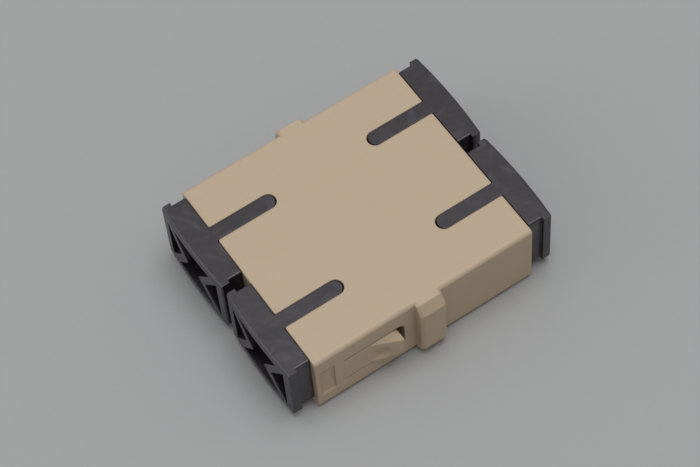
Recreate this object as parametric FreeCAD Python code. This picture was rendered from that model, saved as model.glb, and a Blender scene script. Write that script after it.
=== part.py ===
import FreeCAD, Part
import math
import os

# Duplex fibre adapter that joins two pairs of square push-pull connectors, with its four dust plugs.
# All lengths are in millimetres. X runs across the two channels, Y along the fibres and Z up.
# The origin is on the underside, below the middle of the adapter.

# Ports and keyways, which the connectors fit
channel_pitch = 12.7
port_width = 9.0
port_height = 7.4
port_corner_radius = 0.3
keyway_width = 1.88
keyway_length = 7.7
keyway_mouth_radius = 0.2

# Walls of the housing
housing_length = 27.1
side_wall = 1.85
deck_wall = 0.965
stop_web_thickness = 1.8
stop_web_bore_radius = 3.1
top_edge_radius = 0.5
foot_edge_radius = 0.9
end_edge_bevel = 0.1

# Flange nubs on the long sides, which stop the housing at the panel
nub_length = 3.15
nub_offset = 0.28
nub_reach = 1.25
nub_slope_height = 1.35
nub_slope_depth = 0.8
nub_edge_bevel = 0.3

# Spring tongues in the side walls, which hold the housing in the panel
tongue_height = 3.65
tongue_thickness = 1.0
tongue_length = 6.6
tongue_slit = 0.2
tongue_end_gap = 0.7
panel_gap = 2.1
tongue_corner_radius = 0.9
window_corner_radius = 0.8
ramp_length = 3.6
ramp_rise = 1.1
ramp_slope_height = 0.95
thumb_scoop_radius = 1.6
thumb_scoop_depth = 0.42
thumb_scoop_end = 2.8
thumb_scoop_drop = 0.45

# Shallow recess in each side wall beside the front ports
recess_length = 1.7
recess_height = 4.7
recess_depth = 0.2
recess_setback = 0.55

# Latch holders, which carry the sleeves and hook the connectors
flange_fit = 0.05
flange_thickness = 1.2
snap_bead_radius = 0.3
snap_bead_height = 4.0
snap_bead_proud = 0.15
snap_fit = 0.05
barrel_wall = 0.75
barrel_lip = 0.45
barrel_mouth_radius = 1.42
barrel_mouth_chamfer = 0.2
arm_plug_gap = 0.175
arm_thickness = 0.6
arm_height = 2.8
arm_overreach = 1.8
hook_length = 1.0
hook_depth = 0.45

# Split alignment sleeves
sleeve_bore_radius = 1.25
sleeve_wall = 0.35
sleeve_length = 11.4
sleeve_slit = 0.5
sleeve_chamfer = 0.1
sleeve_fit = 0.05
sleeve_end_play = 0.1

# Dust plugs: head with its lip, ribbed outer face, key rib and hollow body
head_gap = 0.09
head_width = 11.1
head_height = 8.05
head_length = 1.65
lip_length = 1.3
lip_overhang = 0.35
lip_drop = 0.25
lip_corner_radius = 0.35
lip_edge_bevel = 0.12
lip_top_bevel = 0.25
face_radius = 64.0
head_edge_radius = 0.2
cell_width = 9.6
cell_height = 6.6
cell_raise = 0.3
cell_waist = 2.0
cell_rib = 1.25
cell_depth = 2.2
cell_corner_bevel = 0.2
plug_body_length = 7.5
plug_body_fit = 0.075
plug_body_wall = 0.65
plug_corner_radius = 0.5
plug_end_chamfer = 0.3
plug_closing_wall = 0.8
key_fit = 0.05
key_end_gap = 0.2

# Places worked out from the sizes above
channel_x = channel_pitch / 2
housing_width = channel_pitch + port_width + 2 * side_wall
housing_height = port_height + 2 * deck_wall
half_width = housing_width / 2
half_length = housing_length / 2
axis_z = housing_height / 2
nub_front = nub_offset - nub_length / 2
tongue_tip = nub_front - panel_gap
sleeve_outer_radius = sleeve_bore_radius + sleeve_wall
barrel_bore_radius = sleeve_outer_radius + sleeve_fit
barrel_radius = barrel_bore_radius + barrel_wall
barrel_reach = sleeve_length / 2 + sleeve_end_play + barrel_lip
plug_width = port_width - 2 * plug_body_fit
plug_height = port_height - 2 * plug_body_fit
plug_room_width = plug_width - 2 * plug_body_wall
plug_room_height = plug_height - 2 * plug_body_wall

up = FreeCAD.Vector(0, 0, 1)
origin = FreeCAD.Vector(0, 0, 0)
small = 0.001


def block(low, high):
    """Box between two opposite corners."""
    size = [b - a for a, b in zip(low, high)]
    return Part.makeBox(size[0], size[1], size[2], FreeCAD.Vector(*low))


def prism(corners, travel):
    """Solid swept along a vector from a closed outline of 3-D corners."""
    points = [FreeCAD.Vector(*corner) for corner in corners]
    outline = Part.makePolygon(points + points[:1])
    return Part.Face(outline).extrude(FreeCAD.Vector(*travel))


def plane_face(pieces, z):
    """Level face bounded by lines of two (x, y) points and arcs of three."""
    edges = []
    for piece in pieces:
        points = [FreeCAD.Vector(x, y, z) for x, y in piece]
        curve = Part.Arc(*points) if len(points) == 3 else Part.LineSegment(*points)
        edges.append(curve.toShape())
    return Part.Face(Part.Wire(edges))


def edges_where(shape, test):
    """Edges of a shape whose middle point passes a test."""
    found = []
    for edge in shape.Edges:
        middle = edge.valueAt((edge.FirstParameter + edge.LastParameter) / 2)
        if test(edge, middle):
            found.append(edge)
    return found


def runs_along(edge, axis):
    """True for a straight edge along the axis, 0 for X, 1 for Y and 2 for Z."""
    span = edge.Vertexes[-1].Point - edge.Vertexes[0].Point
    return abs(span[axis]) > (1 - small) * edge.Length


def bar(width, height, middle_z, start_y, end_y, radius):
    """Bar along Y, centred on the plane x = 0, with its long edges rounded."""
    low = (-width / 2, min(start_y, end_y), middle_z - height / 2)
    high = (width / 2, max(start_y, end_y), middle_z + height / 2)
    shape = block(low, high)
    return shape.makeFillet(radius, edges_where(shape, lambda edge, middle: runs_along(edge, 1)))


def rod(radius, start_y, end_y):
    """Round bar on the fibre axis of a channel."""
    base = FreeCAD.Vector(0, start_y, axis_z)
    return Part.makeCylinder(radius, end_y - start_y, base, FreeCAD.Vector(0, 1, 0))


def both_sides(shape):
    """The shape and its mirror image across the plane x = 0."""
    return [shape, shape.mirror(origin, FreeCAD.Vector(1, 0, 0))]


def both_ends(shape):
    """The shape and a copy turned half round about the Z axis."""
    return [shape, shape.rotated(origin, up, 180)]


# Housing


def housing_shell():
    """Solid block of the housing, rounded along its length and bevelled at its ends."""
    shell = block((-half_width, -half_length, 0), (half_width, half_length, housing_height))
    for level, radius in ((housing_height, top_edge_radius), (0, foot_edge_radius)):
        shell = shell.makeFillet(radius, edges_where(
            shell, lambda edge, middle: runs_along(edge, 1) and abs(middle.z - level) < small))
    rim = edges_where(shell, lambda edge, middle: abs(middle.y) > half_length - small)
    return shell.makeChamfer(end_edge_bevel, rim)


def flange_nub():
    """Nub on the right side, sloped off at its top and foot."""
    inner = half_width - foot_edge_radius
    outer = half_width + nub_reach
    section = [
        (inner, 0),
        (outer - nub_slope_depth, 0),
        (outer, nub_slope_height),
        (outer, housing_height - nub_slope_height),
        (outer - nub_slope_depth, housing_height),
        (inner, housing_height),
    ]
    nub = prism([(x, nub_front, z) for x, z in section], (0, nub_length, 0))
    return nub.makeChamfer(nub_edge_bevel, edges_where(
        nub, lambda edge, middle: middle.x > inner + small and not runs_along(edge, 1)))


def keyway():
    """Slot through the top wall over a front port, rounded at its mouth and its inner end."""
    half = keyway_width / 2
    mouth = half + keyway_mouth_radius
    start = -half_length
    end = start + keyway_length
    bend = keyway_mouth_radius * (1 - math.sqrt(0.5))
    face = plane_face([
        [(-mouth, start - small), (-mouth, start)],
        [(-mouth, start), (-half - bend, start + bend), (-half, start + keyway_mouth_radius)],
        [(-half, start + keyway_mouth_radius), (-half, end - half)],
        [(-half, end - half), (0, end), (half, end - half)],
        [(half, end - half), (half, start + keyway_mouth_radius)],
        [(half, start + keyway_mouth_radius), (half + bend, start + bend), (mouth, start)],
        [(mouth, start), (mouth, start - small)],
        [(mouth, start - small), (-mouth, start - small)],
    ], axis_z)
    return face.extrude(up * (housing_height - axis_z + small))


def port_cavity():
    """Space of a front port as far as the wall across the middle, with its keyway."""
    cavity = bar(port_width, port_height, axis_z, -half_length - small, -stop_web_thickness / 2,
                 port_corner_radius)
    return cavity.fuse(keyway())


def snap_bead(radius):
    """Upright bead on the right side of a latch holder's flange, or its groove if larger."""
    middle_y = -(stop_web_thickness + flange_thickness) / 2
    centre_x = port_width / 2 + snap_bead_proud - snap_bead_radius
    reach = snap_bead_height / 2 + radius - snap_bead_radius
    return Part.makeCylinder(radius, 2 * reach, FreeCAD.Vector(centre_x, middle_y, axis_z - reach), up)


def channel_space():
    """All that is hollow in one channel: two ports, the bore between them and the snap grooves."""
    groove = both_sides(snap_bead(snap_bead_radius + snap_fit))
    port = port_cavity().fuse(groove)
    web_bore = rod(stop_web_bore_radius, -stop_web_thickness, stop_web_thickness)
    return web_bore.fuse(both_ends(port))


def tongue_window():
    """Opening through the right side wall, round the tongue."""
    low_z = axis_z - tongue_height / 2 - tongue_slit
    high_z = axis_z + tongue_height / 2 + tongue_slit
    end = tongue_tip + tongue_end_gap
    window = block((half_width - side_wall - small, tongue_tip - tongue_length, low_z),
                   (half_width + small, end, high_z))
    return window.makeFillet(window_corner_radius, edges_where(
        window, lambda edge, middle: runs_along(edge, 0) and middle.y > end - small))


def ramp():
    """Ramp that rises to the tongue's free end, sloped off along its upper side."""
    low_z = axis_z - tongue_height / 2
    high_z = low_z + tongue_height
    inner = half_width - tongue_thickness
    crest = half_width + ramp_rise
    start = tongue_tip - ramp_length
    wedge = prism(
        [(inner, start, low_z), (half_width, start, low_z), (crest, tongue_tip, low_z),
         (inner, tongue_tip, low_z)],
        (0, 0, tongue_height))
    roof = prism(
        [(inner, start, low_z), (crest, start, low_z), (crest, start, high_z - ramp_slope_height),
         (half_width, start, high_z), (inner, start, high_z)],
        (0, ramp_length, 0))
    return wedge.common(roof).cut(thumb_scoop())


def thumb_scoop():
    """Round-ended groove along the ramp, which deepens towards the free end."""
    end = tongue_tip - thumb_scoop_end
    surface_x = half_width + ramp_rise * (1 - thumb_scoop_end / ramp_length)
    centre = FreeCAD.Vector(surface_x - thumb_scoop_depth + thumb_scoop_radius, end,
                            axis_z - thumb_scoop_drop)
    ball = Part.makeSphere(thumb_scoop_radius, centre)
    groove = Part.makeCylinder(thumb_scoop_radius, ramp_length, centre, FreeCAD.Vector(0, -1, 0))
    return ball.fuse(groove)


def tongue():
    """Spring tongue of the right side wall, with its ramp and rounded tip corners."""
    low_z = axis_z - tongue_height / 2
    high_z = low_z + tongue_height
    inner = half_width - tongue_thickness
    root = tongue_tip - tongue_length - small
    plate = block((inner, root, low_z), (half_width, tongue_tip, high_z))
    limits = block((inner - small, root, low_z), (half_width + ramp_rise + small, tongue_tip, high_z))
    limits = limits.makeFillet(tongue_corner_radius, edges_where(
        limits, lambda edge, middle: runs_along(edge, 0) and middle.y > tongue_tip - small))
    return plate.fuse(ramp()).removeSplitter().common(limits)


def wall_recess():
    """Shallow recess beside the front port, with a bevelled lower edge."""
    low_y = -half_length + recess_setback
    floor = half_width - recess_depth
    low_z = axis_z - recess_height / 2
    high_z = axis_z + recess_height / 2
    section = [(floor, low_z + recess_depth), (half_width + small, low_z - small),
               (half_width + small, high_z), (floor, high_z)]
    return prism([(x, low_y, z) for x, z in section], (0, recess_length, 0))


def housing():
    """The one beige moulding."""
    shell = housing_shell().fuse(both_sides(flange_nub())).removeSplitter()
    spaces = [channel_space().translated(FreeCAD.Vector(side * channel_x, 0, 0)) for side in (-1, 1)]
    shell = shell.cut(spaces + both_sides(tongue_window()) + both_sides(wall_recess()))
    return shell.fuse(both_sides(tongue())).removeSplitter()


# Latch holders and sleeves


def latch_arm():
    """Right sprung arm of a front holder, with the hook at its tip."""
    outer = plug_room_width / 2 - arm_plug_gap
    inner = outer - arm_thickness
    root = -stop_web_thickness / 2 - flange_thickness / 2
    tip = -barrel_reach - arm_overreach
    outline = [
        (inner, root), (outer, root), (outer, tip + hook_depth), (outer - hook_depth / 2, tip),
        (inner, tip), (inner - hook_depth, tip + hook_length / 2), (inner - hook_depth, tip + hook_length),
        (inner, tip + hook_length),
    ]
    low_z = axis_z - arm_height / 2
    return prism([(x, y, low_z) for x, y in outline], (0, 0, arm_height))


def latch_holder():
    """Front holder of a channel: flange, barrel round half of the sleeve, and two sprung arms."""
    seat = -stop_web_thickness / 2
    flange = bar(port_width - 2 * flange_fit, port_height - 2 * flange_fit, axis_z,
                 seat - flange_thickness, seat, port_corner_radius)
    barrel = rod(barrel_radius, -barrel_reach, 0)
    solid = flange.fuse([barrel] + both_sides(latch_arm()) + both_sides(snap_bead(snap_bead_radius)))
    sleeve_room = rod(barrel_bore_radius, -barrel_reach + barrel_lip, small)
    mouth = rod(barrel_mouth_radius, -barrel_reach - small, 0)
    lead_in = Part.makeCone(
        barrel_mouth_radius, barrel_mouth_radius + barrel_mouth_chamfer, barrel_mouth_chamfer,
        FreeCAD.Vector(0, -barrel_reach + barrel_mouth_chamfer, axis_z), FreeCAD.Vector(0, -1, 0))
    return solid.cut([sleeve_room, mouth, lead_in]).removeSplitter()


def split_sleeve():
    """Sprung tube with a slit along its top that lines the two ferrules up."""
    half = sleeve_length / 2
    tube = rod(sleeve_outer_radius, -half, half).cut(rod(sleeve_bore_radius, -half, half))
    rims = edges_where(tube, lambda edge, middle: abs(middle.y) > half - small)
    tube = tube.makeChamfer(sleeve_chamfer, [rim for rim in rims if rim.Curve.Radius < sleeve_outer_radius])
    slit = block((-sleeve_slit / 2, -half, axis_z), (sleeve_slit / 2, half, housing_height))
    return tube.cut(slit)


# Dust plugs


def plug_head():
    """Head block and lip of a front plug, with its outer face bowed across and bevelled round."""
    inner = -half_length - head_gap
    step = inner - head_length
    outer = step - lip_length
    top = housing_height
    neck = block((-head_width / 2, step, top - head_height), (head_width / 2, inner, top))
    reach = head_width / 2 + lip_overhang
    foot = top - head_height - lip_drop
    front = outer - small
    lip = block((-reach, front, foot), (reach, step, top))
    lip = lip.makeFillet(lip_corner_radius, edges_where(
        lip, lambda edge, middle: runs_along(edge, 1) and middle.z < foot + small))
    bow = Part.makeCylinder(face_radius, top - foot, FreeCAD.Vector(0, outer + face_radius, foot), up)
    cut = reach ** 2 / (2 * face_radius) + lip_edge_bevel
    plan = prism([(-reach, step, foot), (reach, step, foot), (reach, front + cut, foot),
                  (reach - cut, front, foot), (cut - reach, front, foot), (-reach, front + cut, foot)],
                 (0, 0, top - foot))
    lip = lip.common(plan).common(bow)
    lip = lip.makeChamfer(lip_top_bevel, edges_where(
        lip, lambda edge, middle: middle.y < outer + small and middle.z > top - small))
    neck = neck.makeFillet(head_edge_radius, edges_where(neck, lambda edge, middle: runs_along(edge, 1)))
    return neck.fuse(lip)


def face_cells():
    """Three open cells of the outer face, parted by two V-shaped ribs and bevelled in their corners."""
    outer = -half_length - head_gap - head_length - lip_length
    half_w = cell_width / 2
    half_h = cell_height / 2
    middle_z = axis_z + cell_raise
    apex = cell_waist / 2 + cell_rib
    side_cell = [(half_w, half_h), (half_w, -half_h), (apex, 0)]
    far = half_w - cell_rib
    waist = cell_waist / 2
    middle_cell = [(far, half_h), (waist, 0), (far, -half_h), (-far, -half_h), (-waist, 0), (-far, half_h)]
    cells = []
    for outline in (side_cell, middle_cell):
        cell = prism([(x, outer - small, middle_z + z) for x, z in outline], (0, cell_depth + small, 0))
        corners = edges_where(cell, lambda edge, middle: runs_along(edge, 1))
        cells.append(cell.makeChamfer(cell_corner_bevel, corners))
    return both_sides(cells[0]) + [cells[1]]


def tapered_end(half_size, start, end):
    """Corners (offset, y) of a bar's outline between two places, bevelled at its end."""
    bevel = plug_end_chamfer
    return [(-half_size, start), (half_size, start), (half_size, end - bevel),
            (half_size - bevel, end), (bevel - half_size, end), (-half_size, end - bevel)]


def plug_body():
    """Body in the port, with four flats that lead it in."""
    inner = -half_length + plug_body_length
    outer = -half_length - head_gap - small
    body = bar(plug_width, plug_height, axis_z, outer, inner, plug_corner_radius)
    plan = prism([(x, y, axis_z - plug_height / 2) for x, y in tapered_end(plug_width / 2, outer, inner)],
                 (0, 0, plug_height))
    side = prism([(-plug_width / 2, y, axis_z + z) for z, y in tapered_end(plug_height / 2, outer, inner)],
                 (plug_width, 0, 0))
    return body.common(plan).common(side)


def plug_hollow():
    """Room inside the body for the barrel and the hooked arms."""
    outer_face = -half_length - head_gap - head_length - lip_length
    end = outer_face + cell_depth + plug_closing_wall
    return block((-plug_room_width / 2, end, axis_z - plug_room_height / 2),
                 (plug_room_width / 2, -half_length + plug_body_length + small,
                  axis_z + plug_room_height / 2))


def key_rib():
    """Rib that fills the keyway, flush with the top of the housing."""
    half_key = keyway_width / 2 - key_fit
    end = -half_length + keyway_length - key_end_gap
    low = axis_z + port_height / 2 - plug_body_fit - plug_body_wall / 2
    straight = block((-half_key, -half_length - head_gap - small, low),
                     (half_key, end - half_key, housing_height))
    round_end = Part.makeCylinder(
        half_key, housing_height - low, FreeCAD.Vector(0, end - half_key, low), up)
    return straight.fuse(round_end)


def dust_plug():
    """Plug of a front port."""
    solid = plug_body().fuse([plug_head(), key_rib()]).removeSplitter()
    return solid.cut(face_cells() + [plug_hollow()]).removeSplitter()


# Writing the pieces


def write(name, shape):
    """Save one piece as a STEP file."""
    assert shape.isValid() and len(shape.Solids) == 1, name
    print(name, round(shape.Volume, 3))
    shape.Solids[0].exportStep(os.path.join("parts", name + ".step"))


def main():
    os.makedirs("parts", exist_ok=True)
    write("housing", housing())
    plug = dust_plug()
    holder = latch_holder()
    sleeve = split_sleeve()
    for side_name, side in (("left", -1), ("right", 1)):
        place = FreeCAD.Vector(side * channel_x, 0, 0)
        write("sleeve_" + side_name, sleeve.translated(place))
        for end_name, turn in (("front", 0), ("rear", 180)):
            label = "_" + end_name + "_" + side_name
            write("dust_plug" + label, plug.rotated(origin, up, turn).translated(place))
            write("latch_holder" + label, holder.rotated(origin, up, turn).translated(place))


main()
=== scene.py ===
import math

import bpy
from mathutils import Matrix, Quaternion, Vector

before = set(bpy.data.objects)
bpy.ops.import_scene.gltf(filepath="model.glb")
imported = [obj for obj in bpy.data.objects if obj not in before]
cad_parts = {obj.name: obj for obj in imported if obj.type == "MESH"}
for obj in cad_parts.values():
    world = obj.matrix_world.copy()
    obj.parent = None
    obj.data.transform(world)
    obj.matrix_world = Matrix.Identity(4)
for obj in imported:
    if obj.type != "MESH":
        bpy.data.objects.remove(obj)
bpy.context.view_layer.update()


# Split sleeves
# Each channel has a sprung tube of rolled phosphor bronze that lines two ferrules up.
# It is drawn and slit lengthways, so faint lines run along it, and it floats in the
# latch holders.

bronze = (0.71, 0.46, 0.25, 1.0)
bronze_dark = (0.52, 0.31, 0.16, 1.0)
bronze_roughness = (0.22, 0.38)
drawn_line_width = 0.00006
drawn_line_length = 0.004
drawn_line_depth = 0.000004
drawn_line_strength = 0.25
drawn_line_detail = 3.0
sleeve_edge_radius = 0.00004

edge_samples = 8
# Cosines of the turn at which an edge begins to count, and at which it counts in full.
edge_turn_range = (0.999, 0.80)


def add_socket(group, name, kind, direction, value=None):
    """Named input or output of a shader group."""
    socket = group.interface.new_socket(name=name, in_out=direction, socket_type=kind)
    if value is not None:
        socket.default_value = value


def place(nodes, kind, label, **settings):
    """Shader node with a label and its settings."""
    node = nodes.new(kind)
    node.label = label
    for name, value in settings.items():
        setattr(node, name, value)
    return node


def build_soft_edge():
    """Group that rounds the light on a moulded or deburred edge and marks where the edge is."""
    group = bpy.data.node_groups.new("soft edge", "ShaderNodeTree")
    add_socket(group, "Radius", "NodeSocketFloat", "INPUT", 0.0001)
    add_socket(group, "Normal", "NodeSocketVector", "OUTPUT")
    add_socket(group, "Edge", "NodeSocketFloat", "OUTPUT")
    nodes, links = group.nodes, group.links
    given = nodes.new("NodeGroupInput")
    result = nodes.new("NodeGroupOutput")
    rounded = place(nodes, "ShaderNodeBevel", "rounded normal", samples=edge_samples)
    surface = place(nodes, "ShaderNodeNewGeometry", "true normal")
    turn = place(nodes, "ShaderNodeVectorMath", "how far it turns", operation="DOT_PRODUCT")
    mask = place(nodes, "ShaderNodeMapRange", "edge mask")
    mask.inputs["From Min"].default_value = edge_turn_range[0]
    mask.inputs["From Max"].default_value = edge_turn_range[1]
    links.new(given.outputs["Radius"], rounded.inputs["Radius"])
    links.new(rounded.outputs["Normal"], turn.inputs[0])
    links.new(surface.outputs["Normal"], turn.inputs[1])
    links.new(turn.outputs["Value"], mask.inputs["Value"])
    links.new(rounded.outputs["Normal"], result.inputs["Normal"])
    links.new(mask.outputs["Result"], result.inputs["Edge"])
    return group


soft_edge = build_soft_edge()


def new_material(name):
    """Material with only a Principled shader and its output."""
    material = bpy.data.materials.new(name)
    material.use_nodes = True
    nodes = material.node_tree.nodes
    nodes.clear()
    shader = place(nodes, "ShaderNodeBsdfPrincipled", name)
    output = nodes.new("ShaderNodeOutputMaterial")
    material.node_tree.links.new(shader.outputs["BSDF"], output.inputs["Surface"])
    return material, nodes, material.node_tree.links, shader


def add_group(nodes, group, values):
    """Shader group placed in a material, with its inputs set by name."""
    node = nodes.new("ShaderNodeGroup")
    node.node_tree = group
    node.label = group.name
    for name, value in values.items():
        node.inputs[name].default_value = value
    return node


def bronze_material():
    """Rolled bronze with faint drawing lines along the tube."""
    material, nodes, links, shader = new_material("phosphor bronze")
    shader.inputs["Metallic"].default_value = 1.0
    spot = place(nodes, "ShaderNodeTexCoord", "place on the tube")
    stretch = place(nodes, "ShaderNodeMapping", "stretched along the tube")
    stretch.inputs["Scale"].default_value = (
        1 / drawn_line_width, 1 / drawn_line_length, 1 / drawn_line_width)
    streaks = place(nodes, "ShaderNodeTexNoise", "drawing lines")
    streaks.inputs["Scale"].default_value = 1.0
    streaks.inputs["Detail"].default_value = drawn_line_detail
    tone = place(nodes, "ShaderNodeMix", "bright and dull lines", data_type="RGBA")
    tone.inputs["A"].default_value = bronze_dark
    tone.inputs["B"].default_value = bronze
    shine = place(nodes, "ShaderNodeMapRange", "roughness of the lines")
    shine.inputs["To Min"].default_value = bronze_roughness[1]
    shine.inputs["To Max"].default_value = bronze_roughness[0]
    relief = place(nodes, "ShaderNodeBump", "line relief")
    relief.inputs["Strength"].default_value = drawn_line_strength
    relief.inputs["Distance"].default_value = drawn_line_depth
    edge = add_group(nodes, soft_edge, {"Radius": sleeve_edge_radius})
    links.new(spot.outputs["Object"], stretch.inputs["Vector"])
    links.new(stretch.outputs["Vector"], streaks.inputs["Vector"])
    links.new(streaks.outputs["Fac"], tone.inputs["Factor"])
    links.new(streaks.outputs["Fac"], shine.inputs["Value"])
    links.new(streaks.outputs["Fac"], relief.inputs["Height"])
    links.new(edge.outputs["Normal"], relief.inputs["Normal"])
    links.new(tone.outputs["Result"], shader.inputs["Base Color"])
    links.new(shine.outputs["Result"], shader.inputs["Roughness"])
    links.new(relief.outputs["Normal"], shader.inputs["Normal"])
    return material


def dress(node_name, material):
    """Gives a CAD node its finish."""
    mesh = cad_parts[node_name].data
    mesh.materials.clear()
    mesh.materials.append(material)


bronze_finish = bronze_material()
for side in ("left", "right"):
    dress("sleeve_" + side, bronze_finish)


# Latch holders
# A flange, half a sleeve barrel and two hooked arms, moulded in one piece of undyed
# engineering plastic. They snap into the housing back to back and are seen only through
# an open port.

undyed_skin = {
    "Colour": (0.60, 0.58, 0.51, 1.0),
    # Paler colour painted along the edges as a highlight.
    "Scuff And Edge Highlight Colour": (0.68, 0.66, 0.60, 1.0),
    "Edge Highlight Share": 0.3,
    "Mottle": 0.08,
    "Mottle Size": 0.003,
    "Grain Size": 0.00007,
    "Smooth": 0.34,
    "Rough": 0.46,
}
undyed_edge_radius = 0.00009
undyed_grain_depth = 0.000006
undyed_wave_depth = 0.00002
undyed_specular = 0.5

grain_detail = 2.0
grain_strength = 0.5
mottle_detail = 3.0
wave_strength = 1.0
scuff_detail = 5.0
scuff_distortion = 2.5
scuff_range = (0.52, 0.72)
noise_middle = 0.5


def build_moulded_skin():
    """Group for a moulded plastic skin, which mixes grain, mottling, pale scuffs and a paler
    colour painted on the edges as a highlight.
    """
    group = bpy.data.node_groups.new("moulded skin", "ShaderNodeTree")
    for name, kind, value in (
            ("Colour", "NodeSocketColor", (0.5, 0.5, 0.5, 1.0)),
            ("Scuff And Edge Highlight Colour", "NodeSocketColor", (0.6, 0.6, 0.6, 1.0)),
            ("Edge", "NodeSocketFloat", 0.0),
            ("Edge Highlight Share", "NodeSocketFloat", 0.3),
            ("Mottle", "NodeSocketFloat", 0.04),
            ("Mottle Size", "NodeSocketFloat", 0.004),
            ("Grain Size", "NodeSocketFloat", 0.0001),
            ("Scuffs", "NodeSocketFloat", 0.0),
            ("Scuff Size", "NodeSocketFloat", 0.002),
            ("Smooth", "NodeSocketFloat", 0.4),
            ("Rough", "NodeSocketFloat", 0.5)):
        add_socket(group, name, kind, "INPUT", value)
    for name, kind in (
            ("Colour", "NodeSocketColor"),
            ("Roughness", "NodeSocketFloat"),
            ("Height", "NodeSocketFloat"),
            ("Waves", "NodeSocketFloat")):
        add_socket(group, name, kind, "OUTPUT")
    nodes, links = group.nodes, group.links
    given = nodes.new("NodeGroupInput")
    result = nodes.new("NodeGroupOutput")
    spot = place(nodes, "ShaderNodeTexCoord", "place on the moulding")

    def noise(label, size_name, detail, distortion=0.0):
        """Noise whose lumps have the size of one of the group's inputs."""
        scale = place(nodes, "ShaderNodeMath", label + " scale", operation="DIVIDE")
        scale.inputs[0].default_value = 1.0
        links.new(given.outputs[size_name], scale.inputs[1])
        cloud = place(nodes, "ShaderNodeTexNoise", label)
        cloud.inputs["Detail"].default_value = detail
        cloud.inputs["Distortion"].default_value = distortion
        links.new(spot.outputs["Object"], cloud.inputs["Vector"])
        links.new(scale.outputs["Value"], cloud.inputs["Scale"])
        return cloud.outputs["Fac"]

    grain = noise("spark-eroded grain", "Grain Size", grain_detail)
    mottle = noise("flow mottling", "Mottle Size", mottle_detail)
    scuff = noise("scuffs", "Scuff Size", scuff_detail, scuff_distortion)
    rubbed = place(nodes, "ShaderNodeMapRange", "rubbed places")
    rubbed.inputs["From Min"].default_value = scuff_range[0]
    rubbed.inputs["From Max"].default_value = scuff_range[1]
    scuffed = place(nodes, "ShaderNodeMath", "share of the scuffs", operation="MULTIPLY")
    swing = place(nodes, "ShaderNodeMath", "mottle about zero", operation="SUBTRACT")
    swing.inputs[1].default_value = noise_middle
    amount = place(nodes, "ShaderNodeMath", "mottle about one", operation="MULTIPLY_ADD")
    amount.inputs[2].default_value = 1.0
    shade = place(nodes, "ShaderNodeVectorMath", "mottled colour", operation="SCALE")
    share = place(nodes, "ShaderNodeMath", "share of the edge", operation="MULTIPLY")
    both = place(nodes, "ShaderNodeMath", "edges and scuffs", operation="MAXIMUM")
    # Paler colour painted on the scuffs, and along the edges as a painted highlight.
    scuffs_and_painted_edge_highlight = place(nodes, "ShaderNodeMix", "scuffs and painted edge highlight", data_type="RGBA")
    gloss = place(nodes, "ShaderNodeMapRange", "roughness of the grain")
    links.new(mottle, swing.inputs[0])
    links.new(swing.outputs["Value"], amount.inputs[0])
    links.new(given.outputs["Mottle"], amount.inputs[1])
    links.new(given.outputs["Colour"], shade.inputs[0])
    links.new(amount.outputs["Value"], shade.inputs["Scale"])
    links.new(given.outputs["Edge"], share.inputs[0])
    links.new(given.outputs["Edge Highlight Share"], share.inputs[1])
    links.new(scuff, rubbed.inputs["Value"])
    links.new(rubbed.outputs["Result"], scuffed.inputs[0])
    links.new(given.outputs["Scuffs"], scuffed.inputs[1])
    links.new(share.outputs["Value"], both.inputs[0])
    links.new(scuffed.outputs["Value"], both.inputs[1])
    links.new(both.outputs["Value"], scuffs_and_painted_edge_highlight.inputs["Factor"])
    links.new(shade.outputs["Vector"], scuffs_and_painted_edge_highlight.inputs["A"])
    links.new(given.outputs["Scuff And Edge Highlight Colour"], scuffs_and_painted_edge_highlight.inputs["B"])
    links.new(grain, gloss.inputs["Value"])
    links.new(given.outputs["Smooth"], gloss.inputs["To Min"])
    links.new(given.outputs["Rough"], gloss.inputs["To Max"])
    links.new(scuffs_and_painted_edge_highlight.outputs["Result"], result.inputs["Colour"])
    links.new(gloss.outputs["Result"], result.inputs["Roughness"])
    links.new(grain, result.inputs["Height"])
    links.new(mottle, result.inputs["Waves"])
    return group


moulded_skin = build_moulded_skin()


def plastic_material(name, skin, edge_radius, grain_depth, wave_depth, specular):
    """Moulded plastic with its own skin values, rounded edges with a painted highlight, sink
    waves and grain relief.
    """
    material, nodes, links, shader = new_material(name)
    shader.inputs["Specular IOR Level"].default_value = specular
    edge = add_group(nodes, soft_edge, {"Radius": edge_radius})
    surface = add_group(nodes, moulded_skin, skin)
    waves = place(nodes, "ShaderNodeBump", "sink waves")
    waves.inputs["Strength"].default_value = wave_strength
    waves.inputs["Distance"].default_value = wave_depth
    relief = place(nodes, "ShaderNodeBump", "grain relief")
    relief.inputs["Strength"].default_value = grain_strength
    relief.inputs["Distance"].default_value = grain_depth
    # The edge mask sets where a paler highlight is painted along the edges.
    links.new(edge.outputs["Edge"], surface.inputs["Edge"])
    links.new(edge.outputs["Normal"], waves.inputs["Normal"])
    links.new(surface.outputs["Waves"], waves.inputs["Height"])
    links.new(waves.outputs["Normal"], relief.inputs["Normal"])
    links.new(surface.outputs["Height"], relief.inputs["Height"])
    links.new(surface.outputs["Colour"], shader.inputs["Base Color"])
    links.new(surface.outputs["Roughness"], shader.inputs["Roughness"])
    links.new(relief.outputs["Normal"], shader.inputs["Normal"])
    return material, shader


undyed_finish, _ = plastic_material(
    "undyed plastic", undyed_skin, undyed_edge_radius, undyed_grain_depth, undyed_wave_depth,
    undyed_specular)
for end in ("front", "rear"):
    for side in ("left", "right"):
        dress("latch_holder_" + end + "_" + side, undyed_finish)


# Housing
# One beige moulding with four ports, open keyways in its top wall and a sprung tongue in
# each side. The tool's fine spark-eroded grain leaves it matt, and its edges come out
# softly rounded.

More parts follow.
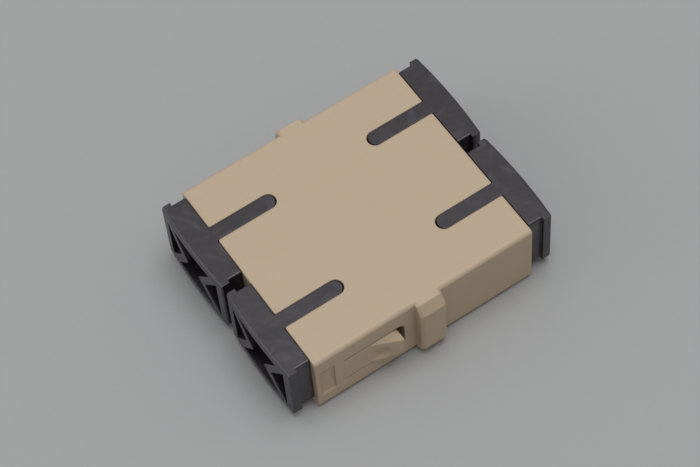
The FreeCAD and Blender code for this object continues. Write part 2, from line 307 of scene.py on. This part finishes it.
beige_skin = {
    "Colour": (0.458, 0.356, 0.250, 1.0),
    # Paler colour painted along the edges as a highlight.
    "Scuff And Edge Highlight Colour": (0.50, 0.40, 0.30, 1.0),
    "Edge Highlight Share": 0.25,
    "Mottle": 0.05,
    "Mottle Size": 0.006,
    "Grain Size": 0.00009,
    "Smooth": 0.46,
    "Rough": 0.60,
}
beige_edge_radius = 0.00028
beige_grain_depth = 0.000010
beige_wave_depth = 0.00003
beige_specular = 0.42
beige_glow_weight = 0.12
beige_glow_radius = (1.0, 0.7, 0.4)
beige_glow_scale = 0.0005

beige_finish, beige_shader = plastic_material(
    "beige plastic", beige_skin, beige_edge_radius, beige_grain_depth, beige_wave_depth,
    beige_specular)
beige_shader.inputs["Subsurface Weight"].default_value = beige_glow_weight
beige_shader.inputs["Subsurface Radius"].default_value = beige_glow_radius
beige_shader.inputs["Subsurface Scale"].default_value = beige_glow_scale
dress("housing", beige_finish)


# Dust plugs
# A hollow dark grey moulding closes each port, with a key rib along the keyway of the top
# wall. Two ribs shaped like a V part the open cells of its gently bowed outer face. It
# pulls out by hand.

charcoal_skin = {
    "Colour": (0.0165, 0.0120, 0.0195, 1.0),
    # Paler colour painted on the scuffs, and along the edges as a painted highlight.
    "Scuff And Edge Highlight Colour": (0.054, 0.047, 0.060, 1.0),
    "Edge Highlight Share": 0.25,
    "Mottle": 0.20,
    "Mottle Size": 0.0045,
    "Scuffs": 0.55,
    "Scuff Size": 0.0045,
    "Grain Size": 0.00008,
    "Smooth": 0.29,
    "Rough": 0.42,
}
charcoal_edge_radius = 0.00012
charcoal_grain_depth = 0.000009
charcoal_wave_depth = 0.00010
charcoal_specular = 0.66

charcoal_finish, _ = plastic_material(
    "dark grey plastic", charcoal_skin, charcoal_edge_radius, charcoal_grain_depth,
    charcoal_wave_depth, charcoal_specular)
for end in ("front", "rear"):
    for side in ("left", "right"):
        dress("dust_plug_" + end + "_" + side, charcoal_finish)


# Table top
# The adapter lies on a plain pale grey board with a smooth matt skin.
# It isn't part of the object.

board_colour = (0.345, 0.348, 0.350)
board_fleck = 0.015
board_roughness = (0.55, 0.7)
board_specular = 0.3
fibre_scale = 900.0
fibre_detail = 4.0
board_half = 3.0
board_drop = 0.00002

board_mesh = bpy.data.meshes.new("board")
board_mesh.from_pydata(
    [(-board_half, -board_half, -board_drop), (board_half, -board_half, -board_drop),
     (board_half, board_half, -board_drop), (-board_half, board_half, -board_drop)],
    [], [(0, 1, 2, 3)])
board = bpy.data.objects.new("board", board_mesh)
bpy.context.scene.collection.objects.link(board)
board_finish, board_nodes, board_links, board_shader = new_material("board")
board_shader.inputs["Specular IOR Level"].default_value = board_specular
board_spot = place(board_nodes, "ShaderNodeTexCoord", "place on the board")
board_cloud = place(board_nodes, "ShaderNodeTexNoise", "faint fibre")
board_cloud.inputs["Scale"].default_value = fibre_scale
board_cloud.inputs["Detail"].default_value = fibre_detail
board_tone = place(board_nodes, "ShaderNodeMix", "board tone", data_type="RGBA")
board_tone.inputs["A"].default_value = [(1 - board_fleck) * c for c in board_colour] + [1.0]
board_tone.inputs["B"].default_value = [(1 + board_fleck) * c for c in board_colour] + [1.0]
board_rough = place(board_nodes, "ShaderNodeMapRange", "board roughness")
board_rough.inputs["To Min"].default_value = board_roughness[0]
board_rough.inputs["To Max"].default_value = board_roughness[1]
board_links.new(board_spot.outputs["Object"], board_cloud.inputs["Vector"])
board_links.new(board_cloud.outputs["Fac"], board_tone.inputs["Factor"])
board_links.new(board_cloud.outputs["Fac"], board_rough.inputs["Value"])
board_links.new(board_tone.outputs["Result"], board_shader.inputs["Base Color"])
board_links.new(board_rough.outputs["Result"], board_shader.inputs["Roughness"])
board_mesh.materials.append(board_finish)


# Studio light
# An even, slightly warm white surround and a large soft box overhead leave the sides in
# soft shade. A weaker soft box low in front lifts the end faces.

surround_strength = 0.43
surround_colour = (1.0, 0.952, 0.90, 1.0)
soft_box_distance = 2.0
# Name, direction it stands in, size, power and colour of each box.
soft_boxes = (
    ("top soft box", Vector((0.04, 0.08, 1.0)), 1.4, 25.7, (0.935, 0.968, 1.0)),
    ("front soft box", Vector((-0.35, -0.90, 0.35)), 1.2, 7.4, (0.86, 0.95, 1.0)),
)

surround = bpy.data.worlds.new("surround")
surround.use_nodes = True
background = surround.node_tree.nodes["Background"]
background.inputs["Color"].default_value = surround_colour
background.inputs["Strength"].default_value = surround_strength
bpy.context.scene.world = surround

for box_name, box_direction, box_size, box_power, box_colour in soft_boxes:
    box_light = bpy.data.lights.new(box_name, "AREA")
    box_light.shape = "SQUARE"
    box_light.size = box_size
    box_light.energy = box_power
    box_light.color = box_colour
    soft_box = bpy.data.objects.new(box_name, box_light)
    soft_box.location = box_direction.normalized() * soft_box_distance
    soft_box.rotation_mode = "QUATERNION"
    soft_box.rotation_quaternion = box_direction.to_track_quat("Z", "Y")
    bpy.context.scene.collection.objects.link(soft_box)


# Camera
# It stands where the photograph was taken from, high over the near right corner of the
# adapter. Its long lens keeps lines that are parallel on the object nearly so in the view.

camera_place = Vector((0.11605, -0.06520, 0.22593))
camera_aim = Vector((-0.000382, -0.000703, 0.005))
camera_roll = math.radians(-5.713)
camera_lens = 125.494
camera_sensor = 36.0
camera_clip = 0.01

camera_data = bpy.data.cameras.new("camera")
camera_data.sensor_width = camera_sensor
camera_data.lens = camera_lens
camera_data.clip_start = camera_clip
camera = bpy.data.objects.new("camera", camera_data)
camera.location = camera_place
camera.rotation_mode = "QUATERNION"
level = (camera_aim - camera_place).to_track_quat("-Z", "Y")
camera.rotation_quaternion = level @ Quaternion((0.0, 0.0, 1.0), camera_roll)
bpy.context.scene.collection.objects.link(camera)
bpy.context.scene.camera = camera
bpy.context.scene.view_settings.view_transform = "Standard"
